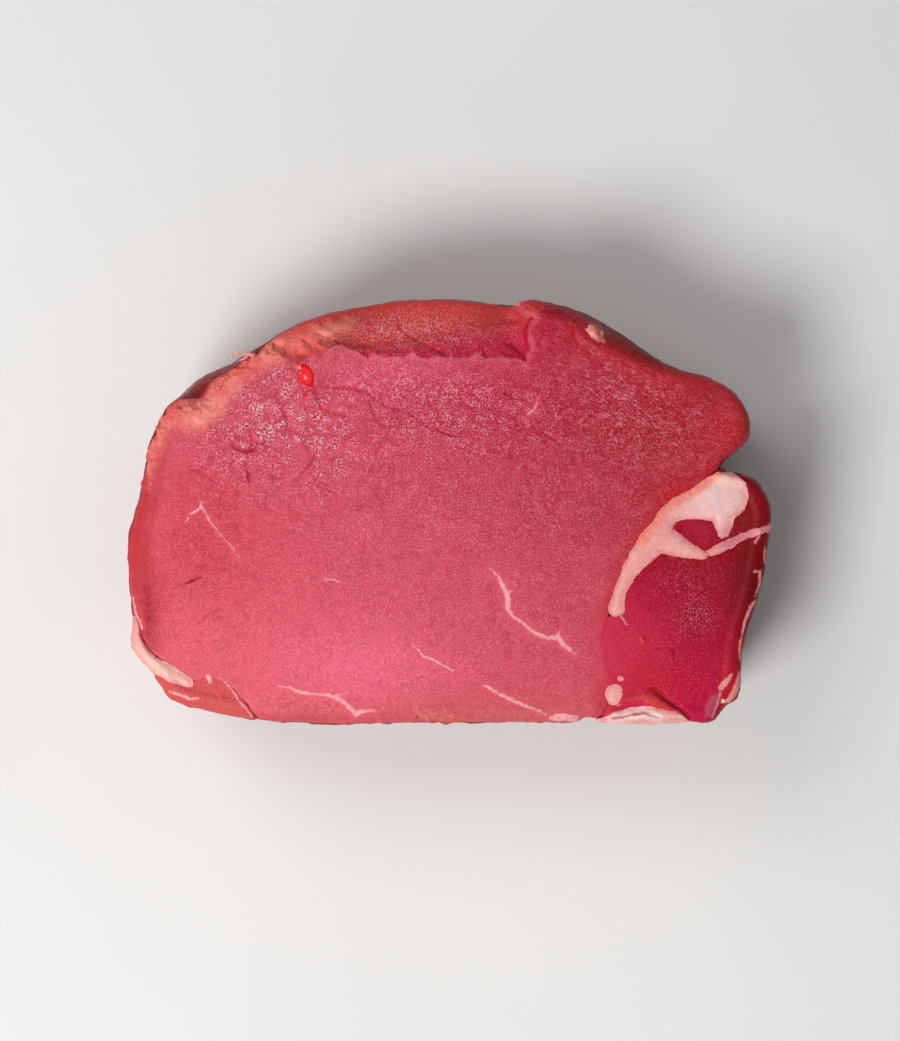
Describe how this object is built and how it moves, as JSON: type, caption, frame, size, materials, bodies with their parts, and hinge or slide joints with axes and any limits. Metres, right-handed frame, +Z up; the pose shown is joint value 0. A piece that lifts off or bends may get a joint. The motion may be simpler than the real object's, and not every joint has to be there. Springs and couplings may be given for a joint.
{
  "type": "raw beef tenderloin",
  "caption": "Thick raw fillet piece cut across the grain: large eye muscle, darker side muscle and the fat seam between them.",
  "frame": {"origin": "under the middle of the whole piece, on the surface it lies on", "axes": "+Z up out of the upper cut face, +X along its longest side towards the side muscle, +Y towards the torn shelf"},
  "size_m": [0.1306, 0.0868, 0.0435],
  "materials": {
    "eye_meat": "moist cut muscle with a fine grain",
    "side_meat": "wet dark muscle",
    "strip_meat": "moist muscle with a thin membrane",
    "fat": "soft waxy fat, slightly pink"
  },
  "bodies": {
    "root": {"eye_muscle": "eye_meat", "side_muscle": "side_meat", "side_muscle_tip": "side_meat", "strip_muscle": "strip_meat", "seam_fat": "fat", "seam_fat_plug": "fat", "corner_fat": "fat", "flap_fat": "fat"}
  },
  "joints": []
}
